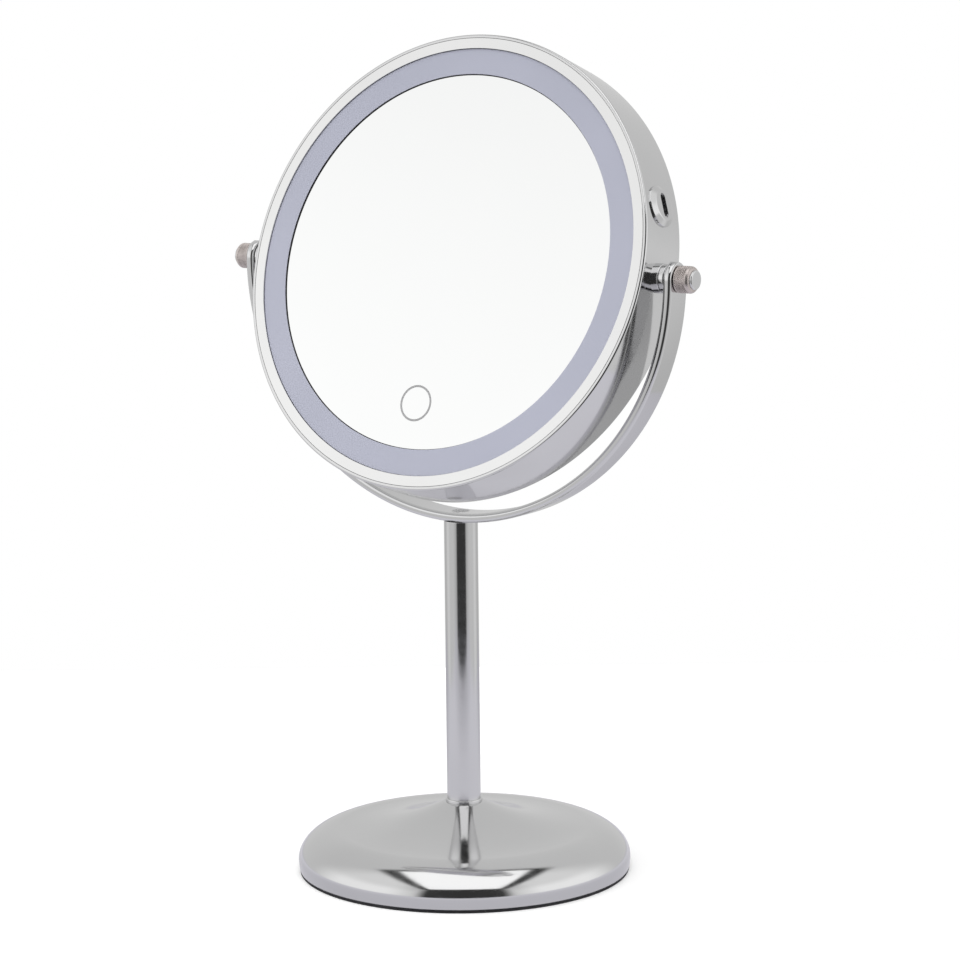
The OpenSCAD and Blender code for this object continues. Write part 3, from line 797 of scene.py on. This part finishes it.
def thumb_nut(side, word):
    """Diamond-knurled nut with a plain rounded end, bored for the stud and its cap."""
    bore = STUD_R + RUN_CLEAR
    bore_edge, edge, edge_middle = 0.15 * MM, 0.35 * MM, 0.1 * MM
    length = NUT_END - NUT_START
    knurl_from, knurl_to = 0.45 * MM, length - NUT_ROUND
    knurl_depth, run_in = 0.22 * MM, 0.3 * MM
    land = 0.45                         # share of a tooth that the grooves leave whole
    teeth = 34
    tooth_w = 2 * math.pi * NUT_R / teeth
    segments, rows, end_rows = teeth * 8, 44, 8
    place = pivot_frame(side)
    verts, faces, rings = [], [], []

    def add_ring(radius, z):
        """Adds a ring of points at a height; the radius is a value or a function."""
        ring = []
        for k in range(segments):
            angle = 2 * math.pi * k / segments
            r = radius(angle, z) if callable(radius) else radius
            ring.append(len(verts))
            verts.append(place @ Vector((r * math.cos(angle), r * math.sin(angle), NUT_START + z)))
        rings.append(ring)

    def knurl(angle, z):
        """Radius with two crossing sets of slanted grooves, which run out at both ends."""
        slant = (z - knurl_from) / tooth_w * 2 * math.pi
        one = abs((angle * teeth + slant) / math.pi % 2 - 1)
        two = abs((angle * teeth - slant) / math.pi % 2 - 1)
        groove = max(0, max(one, two) - land) / (1 - land)
        share = min(1, (z - knurl_from) / run_in, (knurl_to - z) / run_in)
        return NUT_R - knurl_depth * groove * max(0, share)

    add_ring(bore, bore_edge)
    add_ring(bore + bore_edge, 0)
    add_ring(NUT_R - edge, 0)
    add_ring(NUT_R - edge_middle, edge_middle)
    add_ring(NUT_R, edge)
    for k in range(rows + 1):
        add_ring(knurl, knurl_from + (knurl_to - knurl_from) * k / rows)
    for k in range(end_rows + 1):
        angle = math.pi / 2 * k / end_rows
        add_ring(NUT_R - NUT_ROUND + NUT_ROUND * math.cos(angle),
                 length - NUT_ROUND + NUT_ROUND * math.sin(angle))
    add_ring(bore, length)
    for i, low in enumerate(rings):
        high = rings[(i + 1) % len(rings)]
        for k in range(segments):
            n = (k + 1) % segments
            faces.append((low[k], low[n], high[n], high[k]))
    nut = add_object(f"nut_{word}", verts, faces)
    soften(nut)
    finish_as(nut, f"thumb_nut_{word}", f"nut_{word}")


def nut_cap(side, word):
    """Polished domed cap pressed into the nut's outer end."""
    plug_r = STUD_R
    plug_edge, corner_edge, dome_edge = 0.2 * MM, 0.02 * MM, 0.55 * MM
    outline = rounded_outline([
        (0, CAP_START, 0), (plug_r, CAP_START, plug_edge), (plug_r, NUT_END, corner_edge),
        (CAP_R, NUT_END, EDGE), (CAP_R, CAP_END, dome_edge), (0, CAP_END, 0)], steps=8)
    cap = lathe(f"nut_end_{word}", outline, pivot_frame(side), SMALL)
    finish_as(cap, f"nut_cap_{word}", f"nut_{word}")


def port_frame():
    """The frame of the charging port: z runs out of the drum's wall."""
    return (HEAD_FRAME @ Matrix.Rotation(PORT_ANGLE, 4, "Z") @ Matrix.Translation((0, 0, PORT_Z))
            @ Matrix.Rotation(math.pi / 2, 4, "Y")
            @ Matrix.Rotation(math.pi / 2 + PORT_ROLL, 4, "Z"))


def port_surround():
    """Raised round surround with a softly rounded rim and a slot, seated on the drum's curve."""
    top = HEAD_R + PORT_RISE
    seat = HEAD_R - 0.35 * MM
    wall_top = HEAD_R + 0.5 * MM
    face_r = PORT_R - 1.9 * MM
    foot_edge, wall_edge, rim_edge = 0.05 * MM, 0.4 * MM, 1.5 * MM
    outline = rounded_outline([
        (0, seat, 0), (PORT_R, seat, foot_edge), (PORT_R, wall_top, wall_edge),
        (face_r, top, rim_edge), (0, top, 0)], steps=12)
    surround = lathe("port_ring", outline, port_frame(), SMALL)
    resting_r, resting_limit = HEAD_R + 0.01 * MM, HEAD_R + 0.02 * MM
    to_head = HEAD_FRAME.inverted()
    for vertex in surround.data.vertices:
        local = to_head @ vertex.co
        radius = math.hypot(local.x, local.y)
        if radius < resting_limit:
            grow = resting_r / radius
            vertex.co = HEAD_FRAME @ Vector((local.x * grow, local.y * grow, local.z))
    cut(surround, prism("slot", obround(*SLOT), seat - 2 * MM, top + 1 * MM, port_frame()))
    soften(surround)
    finish_as(surround, "port_surround", "head")


# ---- Stage: floor, light and camera ----

def rig_frame():
    """Frame of the studio: x to the camera's right, y away from the camera, z up."""
    return Matrix.Rotation(CAMERA_AZ, 4, "Z")


def calculate(tree, operation, a, b=None):
    """One step of arithmetic on numbers or on the outputs of other nodes."""
    node = tree.nodes.new("ShaderNodeMath")
    node.operation = operation
    for index, value in enumerate((a, b)):
        if value is None:
            continue
        if isinstance(value, (int, float)):
            node.inputs[index].default_value = value
        else:
            link(tree, value, node.inputs[index])
    return node.outputs["Value"]


def fade(tree, value, start, end):
    """0 at start and before, 1 at end and beyond, with a smooth change between."""
    step = tree.nodes.new("ShaderNodeMapRange")
    step.interpolation_type = "SMOOTHSTEP"
    step.inputs["From Min"].default_value = start
    step.inputs["From Max"].default_value = end
    link(tree, value, step.inputs["Value"])
    return step.outputs["Result"]


def rig_axes(tree, source):
    """The x, y and z of a direction or place, in the studio's frame."""
    turn = tree.nodes.new("ShaderNodeVectorRotate")
    turn.rotation_type = "Z_AXIS"
    turn.inputs["Angle"].default_value = -CAMERA_AZ
    link(tree, tree.nodes.new("ShaderNodeTexCoord").outputs[source], turn.inputs["Vector"])
    split = tree.nodes.new("ShaderNodeSeparateXYZ")
    link(tree, turn.outputs["Vector"], split.inputs["Vector"])
    return split.outputs["X"], split.outputs["Y"], split.outputs["Z"]


def camera_or_reflection(tree, for_camera, for_reflections):
    """A shader that the camera sees, mixed with one that everything else sees in its place."""
    seen = tree.nodes.new("ShaderNodeLightPath")
    choose = tree.nodes.new("ShaderNodeMixShader")
    link(tree, seen.outputs["Is Camera Ray"], choose.inputs["Fac"])
    link(tree, for_reflections, choose.inputs[1])
    link(tree, for_camera, choose.inputs[2])
    return choose.outputs["Shader"]


def floor():
    """Paper-covered table with straight edges. The camera sees it white. The metal sees a softer glow
    in its place, with painted light and shade: dimmer near the opening and at the back (painted shade),
    dimmer close to the base (a painted shadow), and a little brighter to the sides (painted light)."""
    ahead, aside, behind, thick = 0.355, 0.33, 0.36, 2 * MM
    outline = [(-aside, -ahead), (aside, -ahead), (aside, behind), (-aside, behind)]
    ground = prism("floor", outline, -thick, 0, rig_frame())
    for polygon in ground.data.polygons:
        polygon.use_smooth = False
    material, tree, shader = new_material("floor_paper")
    broad = noise(tree, scale=6, detail=2)
    tint(tree, shader, spread(tree, broad, 0, 1), (0.86,) * 3, (0.88,) * 3)
    shader.inputs["Roughness"].default_value = 0.9
    shader.inputs["Specular IOR Level"].default_value = 0.1
    shader.inputs["Emission Color"].default_value = (1, 1, 1, 1)
    shader.inputs["Emission Strength"].default_value = FLOOR_LIFT
    x, y, _ = rig_axes(tree, "Object")
    off_centre = calculate(tree, "ABSOLUTE", x)
    from_axis = calculate(tree, "SQRT", calculate(
        tree, "ADD", calculate(tree, "MULTIPLY", x, x), calculate(tree, "MULTIPLY", y, y)))
    # Each change of the glow is painted light or shade: by how much, along what, where it starts and where it is
    # full
    shade_painted_near_opening = (-0.15, y, -0.14, -0.34)
    shade_painted_at_back = (-0.2, y, 0.04, 0.25)
    light_painted_to_sides = (0.03, off_centre, 0.06, 0.28)
    # painted shadow of the base on the table
    shadow_painted_by_base = (-0.10, from_axis, 0.12, 0.065)
    # The glow that the metal sees, with the painted light and shade added on
    tone = FLOOR_LEVEL
    for change, value, start, end in (shade_painted_near_opening, shade_painted_at_back, light_painted_to_sides, shadow_painted_by_base):
        part = calculate(tree, "MULTIPLY", change, fade(tree, value, start, end))
        tone = calculate(tree, "ADD", tone, part)
    soft = tree.nodes.new("ShaderNodeEmission")
    soft.inputs["Color"].default_value = (*FLOOR_TONE, 1)
    link(tree, tone, soft.inputs["Strength"])
    both = camera_or_reflection(tree, shader.outputs["BSDF"], soft.outputs["Emission"])
    link(tree, both, tree.nodes["Material Output"].inputs["Surface"])
    ground.data.materials.append(material)


def studio():
    """A photo tent as the surroundings: bright side walls, a dimmer back wall, a lit ceiling
    with a dark seam round it, and the dark opening the camera looks through."""
    world = bpy.data.worlds.new("studio")
    world.use_nodes = True
    bpy.context.scene.world = world
    tree = world.node_tree
    tree.nodes.clear()

    def calc(operation, a, b=None):
        return calculate(tree, operation, a, b)

    def blend(under, value, mask):
        """The value where the mask is 1, and what is under it where the mask is 0."""
        change = calc("MULTIPLY", calc("SUBTRACT", value, under), mask)
        return calc("ADD", under, change)

    x, y, up = rig_axes(tree, "Generated")
    aside = calc("ABSOLUTE", x)
    ahead = calc("MULTIPLY", y, -1)
    azimuth = calc("ARCTAN2", aside, ahead)             # 0 to pi on either side of the camera
    elevation = calc("ARCSINE", up)
    above = fade(tree, up, 0.02, 0.04)
    safe_up = calc("MAXIMUM", up, 0.02)
    ceiling_aside = calc("DIVIDE", aside, safe_up)      # place on a flat ceiling of height 1
    ceiling_ahead = calc("DIVIDE", ahead, safe_up)

    def ceiling(half_width, back, front, soft):
        """1 inside a patch of the ceiling that widens towards the camera, 0 outside."""
        side_line = calc("SUBTRACT", ceiling_aside, calc("MULTIPLY", CEILING_WIDENS, ceiling_ahead))
        across = fade(tree, side_line, half_width + soft, half_width - soft)
        deep = calc("MULTIPLY", fade(tree, ceiling_ahead, back - soft, back + soft),
                    fade(tree, ceiling_ahead, front + soft, front - soft))
        return calc("MULTIPLY", calc("MULTIPLY", across, deep), above)

    degree = math.radians(1)
    high = fade(tree, elevation, start=18 * degree, end=40 * degree)
    wall = calc("SUBTRACT", SIDE_WALL, calc("MULTIPLY", SIDE_FALL, high))
    beside_opening = fade(tree, azimuth, start=58 * degree, end=30 * degree)
    wall = calc("MULTIPLY", wall, calc(
        "SUBTRACT", 1, calc("MULTIPLY", OPENING_DIM, beside_opening)))
    to_the_side = fade(tree, azimuth, start=130 * degree, end=92 * degree)
    light = blend(BACK_WALL, wall, to_the_side)
    to_the_back = fade(tree, azimuth, start=80 * degree, end=115 * degree)
    dim = calc("SUBTRACT", LOW_DIM, calc("MULTIPLY", LOW_DIM_BACK, to_the_back))
    below_table = fade(tree, elevation, start=1 * degree, end=-6 * degree)
    low = calc("MULTIPLY", dim, below_table)
    light = calc("MULTIPLY", light, calc("SUBTRACT", 1, low))
    opening = calc("MULTIPLY", fade(tree, azimuth, start=36 * degree, end=26 * degree),
                   fade(tree, elevation, start=46 * degree, end=42 * degree))
    light = blend(light, DARK, opening)
    seam = ceiling(half_width=0.58, back=-0.38, front=1.14, soft=0.07)
    light = blend(light, DARK, seam)
    patch = ceiling(half_width=0.41, back=-0.3, front=1.07, soft=0.03)
    light = blend(light, CEILING, patch)
    backdrop = tree.nodes.new("ShaderNodeBackground")
    backdrop.inputs["Color"].default_value = (1, 1, 1, 1)
    backdrop.inputs["Strength"].default_value = 1
    surroundings = tree.nodes.new("ShaderNodeBackground")
    link(tree, light, surroundings.inputs["Strength"])
    surroundings.inputs["Color"].default_value = (1, 1, 0.995, 1)
    both = camera_or_reflection(
        tree, backdrop.outputs["Background"], surroundings.outputs["Background"])
    output = tree.nodes.new("ShaderNodeOutputWorld")
    link(tree, both, output.inputs["Surface"])


def aim(obj, target):
    """Turns a lamp towards a point."""
    obj.rotation_euler = (Vector(target) - obj.location).to_track_quat("-Z", "Y").to_euler()


def fill_light():
    """Broad soft light from above that whitens the floor and leaves no spot in the chrome."""
    data = bpy.data.lights.new("fill", "SUN")
    data.energy = 1.1
    data.angle = math.radians(60)
    lamp = bpy.data.objects.new("fill", data)
    lamp.location = (0, -0.3, 1.5)
    aim(lamp, (0, 0, 0))
    lamp.visible_glossy = False
    bpy.context.scene.collection.objects.link(lamp)


def camera():
    """The camera fitted to the photo's outlines of head, base and stem."""
    elevation, roll = math.radians(9.15), math.radians(-0.6)
    distance = 1.2725
    aside, height = 0.00744, 0.1514     # the point it is aimed at, from the middle of the base
    side = Vector((math.cos(CAMERA_AZ), math.sin(CAMERA_AZ), 0))
    back = Vector((math.sin(CAMERA_AZ) * math.cos(elevation),
                   -math.cos(CAMERA_AZ) * math.cos(elevation), math.sin(elevation)))
    target = side * aside + Vector((0, 0, height))
    data = bpy.data.cameras.new("camera")
    data.sensor_width = 36
    data.lens = 125.7
    data.clip_start = 0.01
    view = bpy.data.objects.new("camera", data)
    up = back.cross(side)
    turn = Matrix((side, up, back)).transposed().to_4x4() @ Matrix.Rotation(roll, 4, "Z")
    view.matrix_world = Matrix.Translation(target + back * distance) @ turn
    bpy.context.scene.collection.objects.link(view)
    bpy.context.scene.camera = view


paint_cad_nodes()
base_cover()
base_pad()
stem()
yoke()
yoke_screw()
drum_housing()
bezel("front_bezel_ring", "front_bezel", LIGHT_OUT_R, FRONT_Z, 1)
bezel("rear_bezel_ring", "rear_bezel", REAR_VIEW_R, BACK_Z, -1)
light_ring()
front_mirror()
touch_mark()
rear_mirror()
port_surround()
for side, word in ((-1, "left"), (1, "right")):
    pivot_collar(side, word)
    friction_washer(side, word)
    pivot_stud(side, word)
    thumb_nut(side, word)
    nut_cap(side, word)
floor()
studio()
fill_light()
camera()
bpy.context.scene.view_settings.view_transform = "Standard"
